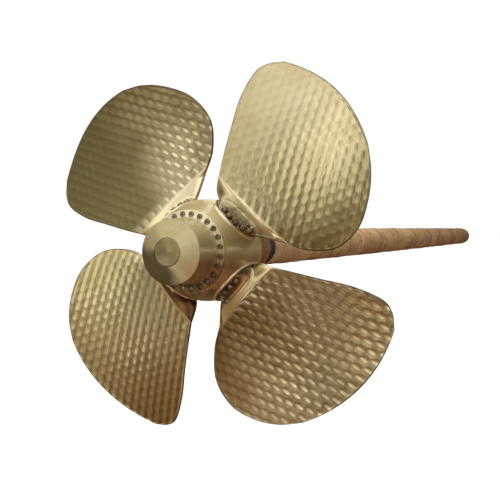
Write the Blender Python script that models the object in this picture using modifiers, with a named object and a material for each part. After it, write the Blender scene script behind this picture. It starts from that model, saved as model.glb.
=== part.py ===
# Four-bladed controllable-pitch ship propeller on its wrapped tail shaft.
#
# Metres, +Z up. +X runs forward along the shaft, and the origin is on the shaft's
# forward end face. Each blade swivels about its own spindle in a port of the hub.

import math

import bmesh
import bpy
from mathutils import Vector

# Driving dimensions. Lengths along the shaft are measured from the hub's centre.
hub_to_shaft_end = 6.545
touch_gap = 0.0003
merge_distance = 0.00005
shortest_step = 0.0008

hub_radius = 0.278
hub_end_radius = 0.220
hub_half_length = 0.220
hub_arc_points = 15

cap_flange_radius = 0.217
cap_flange_edge = 0.022
cap_flange_chamfer = 0.004
cap_boss_radius = 0.173
cap_boss_fillet = 0.013
cap_rim_radius = 0.169
cap_rim_chamfer = 0.005
cap_length = 0.199
cap_nose_length = 0.037
plug_radius = 0.073
plug_depth = 0.012
plug_dish = 0.002
plug_chamfer = 0.003

front_ring_radius = 0.219
front_ring_thickness = 0.092
front_ring_bevel = 0.006
shaft_flange_radius = 0.185
shaft_flange_thickness = 0.050
shaft_fillet = 0.034
liner_radius = 0.102
liner_thickness = 0.006
liner_end = 0.634
liner_bevel = 0.0015
band_radius = 0.106
band_bevel = 0.003
band_end = 0.680
wrap_thickness = 0.007
wrap_stations = ((0.680, 0.111), (3.10, 0.105), (4.90, 0.097), (6.535, 0.088))

port_radius = 0.148
port_floor = 0.190
port_top = 0.330
port_ring_width = 0.007
port_ring_top = 0.243
port_ring_bevel = 0.0015
spigot_bore_radius = 0.067
spigot_bore_floor = 0.140
spigot_bore_overlap = 0.02
spigot_clearance = 0.001
spigot_end_clearance = 0.002

foot_radius = 0.1394
foot_top = 0.2480
foot_edge = 0.003
bolt_circle = 0.115
bolt_pitch = math.radians(22.5)
bolts_per_side = 5
bolt_centre_angle = math.radians(202.5)
spotface_radius = 0.0195
spotface_floor = 0.2505
spotface_top = 0.345

# Blade outline seen along the shaft: (distance along the spindle, across it).
# The leading edge is the bulged side and the trailing edge the straight one.
leading_edge = (
    (0.325, -0.262), (0.395, -0.388), (0.520, -0.496), (0.682, -0.513),
    (0.828, -0.452), (0.943, -0.360), (1.025, -0.250),
)
trailing_edge = (
    (0.339, 0.222), (0.429, 0.282), (0.561, 0.365), (0.704, 0.455),
    (0.848, 0.509), (0.930, 0.494), (0.999, 0.436),
)
section_bulge = (0.0, 0.011, 0.033, 0.055, 0.072, 0.082, 0.085)
max_thickness = (0.080, 0.062, 0.050, 0.038, 0.028, 0.019, 0.012)
section_camber = (0.0, 0.010, 0.016, 0.016, 0.012, 0.007, 0.003)
edge_share = 0.22
section_fullness = 1.3

# How the palm between foot and blade fills out: exponents of its share of the way up.
neck_slimming = 1.7
palm_lead_growth = 0.9
palm_trail_growth = 0.5
palm_twist_growth = 0.5
palm_spacing = 1.4

# Pitch of the blade face at rest, near zero on average and twisted along the span.
twist_per_metre = 0.5024
zero_twist_distance = 0.699
blade_rake = 0.0706
rake_start = 0.330
blade_angles = (45.0, 135.0, 225.0, 315.0)

loop_side_points = 14
blade_sections = 15
palm_sections = 5
round_segments = 64
shaft_segments = 40
spotface_segments = 14

bronze = (0.55, 0.42, 0.20, 1.0)
copper = (0.55, 0.25, 0.09, 1.0)
steel = (0.45, 0.46, 0.48, 1.0)
black_rubber = (0.02, 0.02, 0.02, 1.0)
hessian = (0.42, 0.28, 0.15, 1.0)


def clear_scene():
    for item in list(bpy.data.objects):
        bpy.data.objects.remove(item, do_unlink=True)


def new_collection(name):
    group = bpy.data.collections.new(name)
    bpy.context.scene.collection.children.link(group)
    return group


def new_material(name, colour, roughness, metallic):
    material = bpy.data.materials.new(name)
    material.use_nodes = True
    shader = material.node_tree.nodes["Principled BSDF"]
    shader.inputs["Base Color"].default_value = colour
    shader.inputs["Roughness"].default_value = roughness
    shader.inputs["Metallic"].default_value = metallic
    return material


def new_object(name, mesh, group, material=None):
    item = bpy.data.objects.new(name, mesh)
    group.objects.link(item)
    if material is not None:
        mesh.materials.append(material)
    return item


def turned(name, profile, segments, group, material):
    """Turn (radius, distance along the shaft) points about the shaft line."""
    ordered = sorted_outer_down(profile)
    closed = ordered[0][0] > 0.0
    mesh = bpy.data.meshes.new(name)
    edges = [(i, i + 1) for i in range(len(ordered) - 1)]
    if closed:
        edges.append((len(ordered) - 1, 0))
    mesh.from_pydata([(r, 0.0, along) for r, along in ordered], edges, [])
    item = new_object(name, mesh, group, material)
    item.location = (-hub_to_shaft_end, 0.0, 0.0)
    item.rotation_euler = (0.0, math.pi / 2.0, 0.0)
    screw = item.modifiers.new("turn", "SCREW")
    screw.axis = "Z"
    screw.angle = math.tau
    screw.steps = segments
    screw.render_steps = segments
    screw.use_merge_vertices = True
    screw.merge_threshold = merge_distance
    return item


def sorted_outer_down(profile):
    """Return the profile so that its outer side runs from high to low."""
    area = 0.0
    for (r0, z0), (r1, z1) in zip(profile, profile[1:] + profile[:1]):
        area += r0 * z1 - r1 * z0
    return profile if area < 0.0 else profile[::-1]


def hub_profile():
    drop = hub_radius - hub_end_radius
    points = [(0.0, hub_half_length)]
    for i in range(hub_arc_points):
        along = hub_half_length * (1.0 - 2.0 * i / (hub_arc_points - 1))
        points.append((hub_radius - drop * (along / hub_half_length) ** 2, along))
    points.append((0.0, -hub_half_length))
    return points


def cap_profile():
    """Bolted flange, round boss, and a cone from the rim in to the plug."""
    root = -hub_half_length - touch_gap
    rim = root - cap_length
    nose = rim - cap_nose_length
    flange = root - cap_flange_edge
    step = flange - cap_flange_chamfer
    return [
        (0.0, root),
        (cap_flange_radius, root),
        (cap_flange_radius, flange),
        (cap_flange_radius - cap_flange_chamfer, step),
        (cap_boss_radius + cap_boss_fillet, step),
        (cap_boss_radius + 0.3 * cap_boss_fillet, step - 0.7 * cap_boss_fillet),
        (cap_boss_radius, step - 2.0 * cap_boss_fillet),
        (cap_rim_radius + 0.2 * cap_rim_chamfer, rim + cap_rim_chamfer),
        (cap_rim_radius - cap_rim_chamfer, rim - 0.2 * cap_rim_chamfer),
        (plug_radius + touch_gap, nose),
        (plug_radius + touch_gap, nose + plug_depth),
        (0.0, nose + plug_depth),
    ]


def plug_profile():
    nose = -hub_half_length - touch_gap - cap_length - cap_nose_length
    return [
        (0.0, nose + plug_depth - touch_gap),
        (plug_radius, nose + plug_depth - touch_gap),
        (plug_radius, nose + plug_chamfer),
        (plug_radius - plug_chamfer, nose),
        (0.0, nose + plug_dish),
    ]


def ring_profile(inner, outer, start, end, bevel):
    return [
        (inner, end),
        (outer - bevel, end),
        (outer, end - bevel),
        (outer, start + bevel),
        (outer - bevel, start),
        (inner, start),
    ]


def front_ring_span():
    start = hub_half_length + touch_gap
    return start, start + front_ring_thickness


def shaft_radius_at(along):
    """Radius of the steel shaft under the wrap."""
    first = wrap_stations[0]
    if along <= first[0]:
        return first[1] - wrap_thickness - touch_gap
    for (x0, r0), (x1, r1) in zip(wrap_stations, wrap_stations[1:]):
        if along <= x1:
            return r0 + (r1 - r0) * (along - x0) / (x1 - x0) - wrap_thickness - touch_gap
    return wrap_stations[-1][1] - wrap_thickness - touch_gap


def shaft_profile():
    """Spigot through the front ring, flange, neck under the liner, long tapered shaft."""
    ring_start, ring_end = front_ring_span()
    flange_start = ring_end + touch_gap
    flange_end = flange_start + shaft_flange_thickness
    spigot_radius = liner_radius - liner_thickness
    points = [
        (0.0, ring_start),
        (spigot_radius, ring_start),
        (spigot_radius, flange_start),
        (shaft_flange_radius, flange_start),
        (shaft_flange_radius, flange_end),
        (spigot_radius + shaft_fillet, flange_end),
        (spigot_radius + 0.3 * shaft_fillet, flange_end + 0.3 * shaft_fillet),
        (spigot_radius, flange_end + shaft_fillet),
        (spigot_radius, band_end),
    ]
    points += [(shaft_radius_at(along), along) for along, _ in wrap_stations]
    points += [(shaft_radius_at(hub_to_shaft_end), hub_to_shaft_end), (0.0, hub_to_shaft_end)]
    cleaned = points[:1]
    for point in points[1:]:
        if math.dist(point, cleaned[-1]) > shortest_step:
            cleaned.append(point)
    return cleaned


def liner_profile():
    start = front_ring_span()[1] + touch_gap + shaft_flange_thickness + shaft_fillet + touch_gap
    inner = liner_radius - liner_thickness + touch_gap
    return ring_profile(inner, liner_radius, start, liner_end, liner_bevel)


def band_profile():
    inner = liner_radius - liner_thickness + touch_gap
    return ring_profile(inner, band_radius, liner_end + touch_gap, band_end - touch_gap, band_bevel)


def wrap_profile():
    outer = [(radius, along) for along, radius in wrap_stations]
    inner = [(shaft_radius_at(along) + touch_gap, along) for along, _ in wrap_stations]
    return outer + inner[::-1]


def catmull(points, place):
    """Smooth value at place (0 to 1) through evenly spaced control points."""
    spans = len(points) - 1
    scaled = min(max(place, 0.0), 1.0) * spans
    i = min(int(scaled), spans - 1)
    f = scaled - i
    p1, p2 = Vector(points[i]), Vector(points[i + 1])
    p0 = Vector(points[i - 1]) if i > 0 else 2.0 * p1 - p2
    p3 = Vector(points[i + 2]) if i + 2 <= spans else 2.0 * p2 - p1
    a = 2.0 * p1
    b = (p2 - p0) * f
    c = (2.0 * p0 - 5.0 * p1 + 4.0 * p2 - p3) * f * f
    d = (3.0 * p1 - p0 - 3.0 * p2 + p3) * f ** 3
    return 0.5 * (a + b + c + d)


def value_at(values, place):
    return catmull([(value, 0.0) for value in values], place)[0]


def mean_surface(out, across):
    """Distance along the shaft of the blade's middle surface."""
    pitch = twist_per_metre * (out - zero_twist_distance)
    return across * math.tan(pitch) + blade_rake * (out - rake_start)


def loop_angles():
    first = math.pi / (2.0 * loop_side_points)
    step = (math.pi - 2.0 * first) / (loop_side_points - 1)
    return [first + i * step for i in range(loop_side_points)]


def circle_loop(radius, out):
    aft = [Vector((-radius * math.sin(u), -radius * math.cos(u), out)) for u in loop_angles()]
    fore = [Vector((radius * math.sin(u), radius * math.cos(u), out)) for u in loop_angles()]
    return aft + fore


def blade_loop(place):
    """Closed section of the blade, aft face first, from leading to trailing edge."""
    lead = catmull(leading_edge, place)
    trail = catmull(trailing_edge, place)
    bulge = value_at(section_bulge, place)
    half = value_at(max_thickness, place) / 2.0
    camber = value_at(section_camber, place)
    first = math.sin(loop_angles()[0])
    reach = math.cos(loop_angles()[0])
    aft, fore = [], []
    for u in loop_angles():
        share = 0.5 - 0.5 * math.cos(u) / reach
        point = lead.lerp(trail, share)
        out = point[0] + bulge * 4.0 * share * (1.0 - share)
        middle = mean_surface(out, point[1]) + camber * 4.0 * share * (1.0 - share)
        fullness = ((math.sin(u) - first) / (1.0 - first)) ** section_fullness
        offset = half * (edge_share + (1.0 - edge_share) * fullness)
        aft.append(Vector((middle - offset, point[1], out)))
        fore.append(Vector((middle + offset, point[1], out)))
    return aft + fore[::-1]


def palm_loop(share):
    """Section between the round foot and the blade: a plate thickened by a neck."""
    disc = foot_radius - foot_edge
    lead, trail = Vector(leading_edge[0]), Vector(trailing_edge[0])
    lead_across = -disc + (lead[1] + disc) * share ** palm_lead_growth
    trail_across = disc + (trail[1] - disc) * share ** palm_trail_growth
    neck = disc * (1.0 - share) ** neck_slimming
    root = blade_loop(0.0)
    count = loop_side_points
    aft, fore = [], []
    for i, u in enumerate(loop_angles()):
        place = 0.5 - 0.5 * math.cos(u) / math.cos(loop_angles()[0])
        across = lead_across + (trail_across - lead_across) * place
        out = foot_top + (root[i][2] - foot_top) * share
        plate = abs(root[i][0] - root[2 * count - 1 - i][0]) / 2.0
        round_part = neck * math.sqrt(max(0.0, 1.0 - (across / disc) ** 2))
        half = (plate ** 4 + round_part ** 4) ** 0.25
        middle = mean_surface(out, across) * share ** palm_twist_growth
        aft.append(Vector((middle - half, across, out)))
        fore.append(Vector((middle + half, across, out)))
    return aft + fore[::-1]


def blade_loops():
    seat = port_floor + touch_gap
    spigot = spigot_bore_radius - spigot_clearance
    loops = [circle_loop(spigot, spigot_bore_floor + spigot_end_clearance), circle_loop(spigot, seat)]
    loops.append(circle_loop(foot_radius, seat))
    loops.append(circle_loop(foot_radius, foot_top - foot_edge))
    loops.append(circle_loop(foot_radius - foot_edge, foot_top))
    for i in range(1, palm_sections):
        loops.append(palm_loop((i / palm_sections) ** palm_spacing))
    for i in range(blade_sections):
        loops.append(blade_loop(i / (blade_sections - 1)))
    return loops


def blade_mesh():
    shape = bmesh.new()
    rows = [[shape.verts.new(point) for point in loop] for loop in blade_loops()]
    count = 2 * loop_side_points
    for low, high in zip(rows, rows[1:]):
        for i in range(count):
            j = (i + 1) % count
            shape.faces.new((low[i], low[j], high[j], high[i]))
    shape.faces.new(rows[0][::-1])
    tip = rows[-1]
    for i in range(loop_side_points - 1):
        shape.faces.new((tip[i], tip[i + 1], tip[count - 2 - i], tip[count - 1 - i]))
    bmesh.ops.recalc_face_normals(shape, faces=shape.faces)
    mesh = bpy.data.meshes.new("blade")
    shape.to_mesh(mesh)
    shape.free()
    return mesh


def spindle_empty(name, angle, group):
    """Empty on the spindle: its Z points out along the blade, its X along the shaft."""
    empty = bpy.data.objects.new(name, None)
    group.objects.link(empty)
    empty.location = (-hub_to_shaft_end, 0.0, 0.0)
    empty.rotation_euler = (math.radians(90.0 - angle), 0.0, 0.0)
    return empty


def cutter_mesh(name, cylinders):
    """One mesh of separate cylinders: (x, y, low, high, radius, segments) each."""
    shape = bmesh.new()
    for x, y, low, high, radius, segments in cylinders:
        made = bmesh.ops.create_cone(
            shape, cap_ends=True, segments=segments,
            radius1=radius, radius2=radius, depth=high - low,
        )
        bmesh.ops.translate(shape, verts=made["verts"], vec=(x, y, (low + high) / 2.0))
    mesh = bpy.data.meshes.new(name)
    shape.to_mesh(mesh)
    shape.free()
    return mesh


def add_cutter(target, name, mesh, parent, group):
    cutter = new_object(name, mesh, group)
    cutter.parent = parent
    cutter.hide_render = True
    cutter.display_type = "WIRE"
    cut = target.modifiers.new(name, "BOOLEAN")
    cut.operation = "DIFFERENCE"
    cut.solver = "EXACT"
    cut.object = cutter


def port_cylinders():
    """The wide port, and the narrow bore under it for the foot's spigot."""
    radius = port_radius + touch_gap
    bore_top = port_floor + spigot_bore_overlap
    return (
        (0.0, 0.0, port_floor, port_top, radius, round_segments),
        (0.0, 0.0, spigot_bore_floor, bore_top, spigot_bore_radius, round_segments),
    )


def spotface_cylinders():
    cylinders = []
    for side in range(2):
        for i in range(bolts_per_side):
            offset = (i - (bolts_per_side - 1) / 2.0) * bolt_pitch
            angle = bolt_centre_angle + offset + side * math.pi
            x = bolt_circle * math.cos(angle)
            y = bolt_circle * math.sin(angle)
            cylinders.append((x, y, spotface_floor, spotface_top, spotface_radius, spotface_segments))
    return cylinders


def add_port_ring(name, parent, group, material):
    inner = port_radius - port_ring_width
    low = port_floor + touch_gap
    profile = ring_profile(inner, port_radius, low, port_ring_top, port_ring_bevel)
    item = turned(name, profile, round_segments, group, material)
    item.parent = parent
    item.location = (0.0, 0.0, 0.0)
    item.rotation_euler = (0.0, 0.0, 0.0)


def add_blade(name, parent, group, cutters, material, mesh, spotface):
    item = new_object(name, mesh, group)
    if not mesh.materials:
        mesh.materials.append(material)
    item.parent = parent
    add_cutter(item, name + "_spotfaces", spotface, parent, cutters)


def build():
    clear_scene()
    group = new_collection("ship_propeller")
    cutters = new_collection("cutters")
    cast = new_material("cast_bronze", bronze, 0.35, 1.0)
    ring = new_material("copper_ring", copper, 0.40, 1.0)
    forged = new_material("forged_steel", steel, 0.40, 1.0)
    rubber = new_material("black_rubber", black_rubber, 0.60, 0.0)
    cloth = new_material("hessian_wrap", hessian, 0.90, 0.0)

    hub = turned("hub_body", hub_profile(), round_segments, group, cast)
    turned("hub_cap", cap_profile(), round_segments, group, cast)
    turned("cap_plug", plug_profile(), round_segments, group, cast)
    start, end = front_ring_span()
    bore_radius = liner_radius - liner_thickness + touch_gap
    front = ring_profile(bore_radius, front_ring_radius, start, end, front_ring_bevel)
    turned("hub_front_ring", front, round_segments, group, ring)
    turned("shaft", shaft_profile(), shaft_segments, group, forged)
    turned("shaft_liner", liner_profile(), shaft_segments, group, forged)
    turned("liner_end_band", band_profile(), shaft_segments, group, rubber)
    turned("shaft_wrap", wrap_profile(), shaft_segments, group, cloth)

    port = cutter_mesh("port", port_cylinders()[:1])
    bore = cutter_mesh("spigot_bore", port_cylinders()[1:])
    spotface = cutter_mesh("spotfaces", spotface_cylinders())
    blade = blade_mesh()
    for number, angle in enumerate(blade_angles, start=1):
        spindle = spindle_empty("spindle_%d" % number, angle, group)
        add_cutter(hub, "port_%d" % number, port, spindle, cutters)
        add_cutter(hub, "spigot_bore_%d" % number, bore, spindle, cutters)
        add_port_ring("port_ring_%d" % number, spindle, group, cast)
        add_blade("blade_%d" % number, spindle, group, cutters, cast, blade, spotface)


build()
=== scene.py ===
# Bronze ship propeller with swivelling blades on its wrapped tail shaft.
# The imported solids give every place; this script makes the surfaces, bolts, wrap and finishes.
import math

import bmesh
import bpy
import numpy as np
from mathutils import Matrix, Vector


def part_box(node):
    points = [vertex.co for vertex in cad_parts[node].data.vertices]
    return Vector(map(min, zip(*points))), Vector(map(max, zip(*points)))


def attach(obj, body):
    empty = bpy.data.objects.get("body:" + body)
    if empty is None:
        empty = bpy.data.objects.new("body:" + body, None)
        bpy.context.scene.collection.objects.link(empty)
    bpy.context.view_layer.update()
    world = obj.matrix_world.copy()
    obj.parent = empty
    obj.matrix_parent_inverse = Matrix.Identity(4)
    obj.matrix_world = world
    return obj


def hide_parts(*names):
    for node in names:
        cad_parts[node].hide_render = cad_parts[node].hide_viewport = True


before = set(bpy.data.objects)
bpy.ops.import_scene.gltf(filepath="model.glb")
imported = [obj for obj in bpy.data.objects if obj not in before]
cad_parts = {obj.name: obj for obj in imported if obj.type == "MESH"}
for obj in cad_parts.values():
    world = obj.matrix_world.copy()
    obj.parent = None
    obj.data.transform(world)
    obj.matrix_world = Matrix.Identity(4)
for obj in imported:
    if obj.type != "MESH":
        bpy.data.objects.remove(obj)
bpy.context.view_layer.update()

hubLow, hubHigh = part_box("hub_body")
hubSpot = (hubLow + hubHigh) / 2.0        # the hub's centre
hubSpot.y = hubSpot.z = 0.0
hubHalf = (hubHigh.x - hubLow.x) / 2.0
alongShaft = Matrix.Translation(hubSpot) @ Matrix.Rotation(math.radians(90.0), 4, "Y")
bladeAngles = {1: 45.0, 2: 135.0, 3: 225.0, 4: 315.0}        # seen from aft, anticlockwise from starboard


def bladeFrame(number):        # X forward, Y towards the trailing edge, Z out along the spindle
    return Matrix.Translation(hubSpot) @ Matrix.Rotation(math.radians(90.0 - bladeAngles[number]), 4, "X")


# Node trees


class Wire:        # one socket of a node tree; arithmetic on it adds Math nodes
    def __init__(self, tree, socket=None):
        self.tree = tree
        self.socket = socket

    def node(self, kind, settings=None, inputs=None, out=0):
        made = self.tree.nodes.new(kind)
        for name, value in (settings or {}).items():
            if name == "stops":
                fillRamp(made.color_ramp, value)
            else:
                setattr(made, name, value)
        for name, value in (inputs or {}).items():
            if isinstance(value, Wire):
                self.tree.links.new(value.socket, made.inputs[name])
            else:
                made.inputs[name].default_value = value
        return Wire(self.tree, made.outputs[out])

    def other(self, name):
        return Wire(self.tree, self.socket.node.outputs[name])

    def math(self, operation, *values):
        return self.node("ShaderNodeMath", {"operation": operation}, dict(enumerate(values)))

    def __add__(self, value):
        return self.math("ADD", self, value)

    __radd__ = __add__

    def __sub__(self, value):
        return self.math("SUBTRACT", self, value)

    def __rsub__(self, value):
        return self.math("SUBTRACT", value, self)

    def __mul__(self, value):
        return self.math("MULTIPLY", self, value)

    __rmul__ = __mul__

    def __truediv__(self, value):
        return self.math("DIVIDE", self, value)

    def __pow__(self, value):
        return self.math("POWER", self, value)

    def ramp(self, low, high):        # 0 below low, 1 above high, smooth between
        return self.node(
            "ShaderNodeMapRange", {"interpolation_type": "SMOOTHSTEP"},
            {"Value": self, "From Min": low, "From Max": high},
        )

    def mix(self, first, second):        # colour from first to second by this factor
        return self.node("ShaderNodeMix", {"data_type": "RGBA"}, {0: self, 6: first, 7: second}, 2)

    def noise(self, scale, detail=3.0, roughness=0.5):
        return self.node(
            "ShaderNodeTexNoise", {},
            {"Vector": self, "Scale": scale, "Detail": detail, "Roughness": roughness},
        )

    def parts(self):
        split = self.node("ShaderNodeSeparateXYZ", {}, {"Vector": self})
        return split, split.other("Y"), split.other("Z")


def fillRamp(ramp, stops):
    while len(ramp.elements) > 1:
        ramp.elements.remove(ramp.elements[-1])
    ramp.elements[0].position, ramp.elements[0].color = stops[0]
    for position, colour in stops[1:]:
        ramp.elements.new(position).color = colour


def vectorOf(x, y, z):
    first = next(value for value in (x, y, z) if isinstance(value, Wire))
    return first.node("ShaderNodeCombineXYZ", {}, {0: x, 1: y, 2: z})


def tone(red, green, blue):
    return (red, green, blue, 1.0)


def newFinish(name, uniform):
    material = bpy.data.materials.new(name)
    material.use_nodes = True
    shader = material.node_tree.nodes["Principled BSDF"]
    for socket, value in uniform.items():
        shader.inputs[socket].default_value = value
    place = Wire(material.node_tree).node("ShaderNodeTexCoord", out="Object")
    return material, place


def feed(material, colour, roughness, height=None, depth=0.001, strength=1.0):
    tree = material.node_tree
    shader = tree.nodes["Principled BSDF"]
    tree.links.new(colour.socket, shader.inputs["Base Color"])
    tree.links.new(roughness.socket, shader.inputs["Roughness"])
    if height is not None:
        bump = height.node("ShaderNodeBump", {}, {"Height": height, "Distance": depth, "Strength": strength})
        tree.links.new(bump.socket, shader.inputs["Normal"])
    return material


# Mesh helpers


def addItem(name, data, matrix=Matrix.Identity(4)):
    item = bpy.data.objects.new(name, data)
    bpy.context.scene.collection.objects.link(item)
    item.matrix_world = matrix
    return item


def meshOf(name, verts, faces):
    mesh = bpy.data.meshes.new(name)
    mesh.from_pydata([tuple(v) for v in verts], [], [tuple(f) for f in faces])
    tidyNormals(mesh)
    return mesh


def newPiece(name, verts, faces, matrix, body, material, sharpAngle=32.0):
    return dressPiece(name, meshOf(name, verts, faces), matrix, body, material, sharpAngle)


def dressPiece(name, mesh, matrix, body, material, sharpAngle=32.0):
    piece = addItem(name, mesh, matrix)
    tidyNormals(mesh)
    smoothShade(mesh, sharpAngle)
    mesh.materials.clear()
    mesh.materials.append(material)
    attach(piece, body)
    return piece


def reshape(mesh, change):        # the mesh after a change made on its BMesh
    shape = bmesh.new()
    shape.from_mesh(mesh)
    change(shape)
    shape.to_mesh(mesh)
    shape.free()
    return mesh


def tidyNormals(mesh):
    reshape(mesh, lambda shape: bmesh.ops.recalc_face_normals(shape, faces=shape.faces))


def smoothShade(mesh, sharpAngle):
    mesh.shade_smooth()
    mesh.set_sharp_from_angle(angle=math.radians(sharpAngle))


def rounded(profile, radius, steps=4):        # corners of an (r, z) outline eased by a radius
    points = [profile[0]]
    for before, corner, after in zip(profile, profile[1:], profile[2:]):
        a, b, c = Vector(before), Vector(corner), Vector(after)
        reach = min(radius, (a - b).length * 0.45, (c - b).length * 0.45)
        start, end = b + (a - b).normalized() * reach, b + (c - b).normalized() * reach
        for i in range(steps + 1):
            t = i / steps
            points.append(tuple(start * (1 - t) ** 2 + b * 2 * t * (1 - t) + end * t * t))
    points.append(profile[-1])
    return points


def skin(rows):        # faces between each closed row of point numbers and the next
    faces = []
    for low, high in zip(rows, rows[1:]):
        for corners in zip(low, low[1:] + low[:1], high[1:] + high[:1], high):
            faces.append(list(dict.fromkeys(corners)))
    return faces


def lathe(profile, segments):        # profile of (r, z) turned about Z, closed where r is 0 or as a loop
    ring = np.arange(segments) * math.tau / segments
    verts, rows = [], []
    for r, z in profile:
        if r < 1e-6:
            rows.append([len(verts)] * segments)
            verts.append((0.0, 0.0, z))
        else:
            rows.append(list(range(len(verts), len(verts) + segments)))
            verts.extend(zip(r * np.cos(ring), r * np.sin(ring), [z] * segments))
    if profile[0][0] > 1e-6:
        rows.append(rows[0])
    return verts, skin(rows)


def cylinders(spots, segments=32):        # (x, y, low, high, radius) each
    shape = bmesh.new()
    for x, y, low, high, radius in spots:
        made = bmesh.ops.create_cone(
            shape, cap_ends=True, segments=segments, radius1=radius, radius2=radius, depth=high - low
        )
        bmesh.ops.translate(shape, verts=made["verts"], vec=(x, y, (low + high) / 2.0))
    mesh = bpy.data.meshes.new("cutter")
    shape.to_mesh(mesh)
    shape.free()
    return mesh


sliverLength = 0.000005        # edges shorter than this are left over from a cut


def cutMesh(mesh, cutters):        # mesh with each (cutter mesh, matrix) taken out of it
    block = addItem("block", mesh)
    helpers = [block]
    for cutter, matrix in cutters:
        tool = addItem("tool", cutter, matrix)
        step = block.modifiers.new("cut", "BOOLEAN")
        step.operation = "DIFFERENCE"
        step.solver = "EXACT"
        step.object = tool
        helpers.append(tool)
    bpy.context.view_layer.update()
    graph = bpy.context.evaluated_depsgraph_get()
    result = bpy.data.meshes.new_from_object(block.evaluated_get(graph))
    for helper in helpers:
        bpy.data.objects.remove(helper)
    return reshape(result, lambda shape: bmesh.ops.dissolve_degenerate(
        shape, dist=sliverLength, edges=shape.edges))


# Blades

bladeShape = {
    "leading": ((0.325, -0.262), (0.395, -0.388), (0.520, -0.496), (0.682, -0.513),
                (0.828, -0.452), (0.943, -0.360), (1.025, -0.250)),        # (out, across) in metres
    "trailing": ((0.339, 0.222), (0.429, 0.282), (0.561, 0.365), (0.704, 0.455),
                 (0.848, 0.509), (0.930, 0.494), (0.999, 0.436)),
    "bulge": (0.0, 0.011, 0.033, 0.055, 0.072, 0.082, 0.085),
    "thickness": (0.080, 0.062, 0.050, 0.038, 0.028, 0.019, 0.012),
    "camber": (0.0, 0.010, 0.016, 0.016, 0.012, 0.007, 0.003),
    "edgeShare": 0.22,
    "edgeStart": math.pi / 28.0,        # where the solid's section loop starts
    "twist": 0.5024,
    "zeroTwist": 0.699,
    "rake": 0.0706,
    "rakeStart": 0.330,
    "tipSlope": 0.50,        # metres out for each unit of place near the tip
    "tipRadius": 0.006,
    "middleColumns": 164,
    "edgeColumns": 5,
    "wingRows": 146,
    "tipRows": 5,
    "evenColumns": 0.7,        # share of even spacing in the columns; the rest crowds to the edges
    "fullnessPower": 1.3,        # how round a section is between its edges
    "palmRows": 26,
    "palmPowers": {"rows": 1.4, "leading": 0.9, "trailing": 0.5, "middle": 0.5},        # of the way up it
}
foot = {
    "radius": 0.1394,
    "top": 0.2480,
    "bottom": 0.1903,
    "edge": 0.003,
    "neckSlimming": 1.7,
    "sink": 0.006,        # how far the palm goes into the foot
    "boltCircle": 0.115,
    "boltPitch": 22.5,
    "boltsPerSide": 5,
    "boltCentre": 202.5,
    "spotfaceRadius": 0.0195,
    "spotfaceFloor": 0.2455,
    "spotfaceTop": 0.345,
    "segments": 160,
}
scallops = {        # shallow cuts left by the milling, on a skewed grid
    "lean": 20.0,        # of each cut's length, from the spindle towards the trailing edge, in degrees
    "pitchAcross": 0.056,        # from cut to cut in a row
    "pitchOut": 0.053,        # from row to row
    "shift": 0.029,        # of each row on the one below
    "crown": 3.4,        # how sharply a cut curves over its pass, and along it
    "crownAlong": 1.5,
    "depth": 0.0032,
    "startOut": 0.343,        # straight line where the smooth palm ends
    "startBlend": 0.004,
    "rim": (0.006, 0.020),        # smooth border along the edges
    "edgeBand": 0.012,        # painted shade: dark band along the edges
}


def smoothThrough(points, place):        # Catmull-Rom through evenly spaced points, as the solids have it
    points = np.array(points, float).reshape(len(points), -1)
    spans = len(points) - 1
    padded = np.vstack([2 * points[0] - points[1], points, 2 * points[-1] - points[-2]])
    scaled = np.clip(place, 0.0, 1.0) * spans
    i = np.minimum(scaled.astype(int), spans - 1)
    f = (scaled - i)[:, None]
    p0, p1, p2, p3 = (padded[i + k] for k in range(4))
    return 0.5 * (2 * p1 + (p2 - p0) * f + (2 * p0 - 5 * p1 + 4 * p2 - p3) * f**2
                  + (3 * p1 - p0 - 3 * p2 + p3) * f**3)


def smoothStep(value, low, high):
    t = np.clip((value - low) / (high - low), 0.0, 1.0)
    return t * t * (3 - 2 * t)


def meanSurface(out, across):
    pitch = bladeShape["twist"] * (out - bladeShape["zeroTwist"])
    return across * np.tan(pitch) + bladeShape["rake"] * (out - bladeShape["rakeStart"])


def nose(distance, radius):        # share of full thickness at a distance in from a rounded edge
    return np.sqrt(1.0 - (1.0 - np.clip(distance / radius, 0.0, 1.0)) ** 2)


def sectionShares(chord, edge):        # where the columns stand along each row's chord, 0 to 1
    turn = np.linspace(0.0, math.pi / 2, bladeShape["edgeColumns"] + 1)[:-1]
    first = (edge / chord)[:, None]
    tip = first * (1.0 - np.cos(turn))
    run = np.linspace(0.0, 1.0, bladeShape["middleColumns"])
    even = bladeShape["evenColumns"]
    run = even * run + (1.0 - even) * (0.5 - 0.5 * np.cos(math.pi * run))
    return np.hstack([tip, first + (1.0 - 2.0 * first) * run, 1.0 - tip[:, ::-1]])


def scallopHeight(out, across, fromEdge, fromTip):        # lower envelope of the cuts around each point
    s = scallops
    lean = math.radians(s["lean"])
    row = np.round(out / s["pitchOut"])
    relief = np.zeros(out.shape)
    for rowStep in (-2, -1, 0, 1, 2):
        outStep = out - (row + rowStep) * s["pitchOut"]
        acrossStep = across - (row + rowStep) * s["shift"]
        acrossStep = acrossStep - s["pitchAcross"] * np.round(acrossStep / s["pitchAcross"])
        for columnStep in (-1, 0, 1):
            sideways = acrossStep + columnStep * s["pitchAcross"]
            over = sideways * math.cos(lean) - outStep * math.sin(lean)
            along = sideways * math.sin(lean) + outStep * math.cos(lean)
            relief = np.minimum(relief, s["crown"] * over**2 + s["crownAlong"] * along**2 - s["depth"])
    mask = smoothStep(out, s["startOut"], s["startOut"] + s["startBlend"])
    return relief * mask * smoothStep(fromEdge, *s["rim"]) * smoothStep(fromTip, *s["rim"])


def bothSides(middle, half, across, out):        # aft and fore points
    return [np.stack([middle + side * half, across, out], -1) for side in (-1.0, 1.0)]


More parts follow.
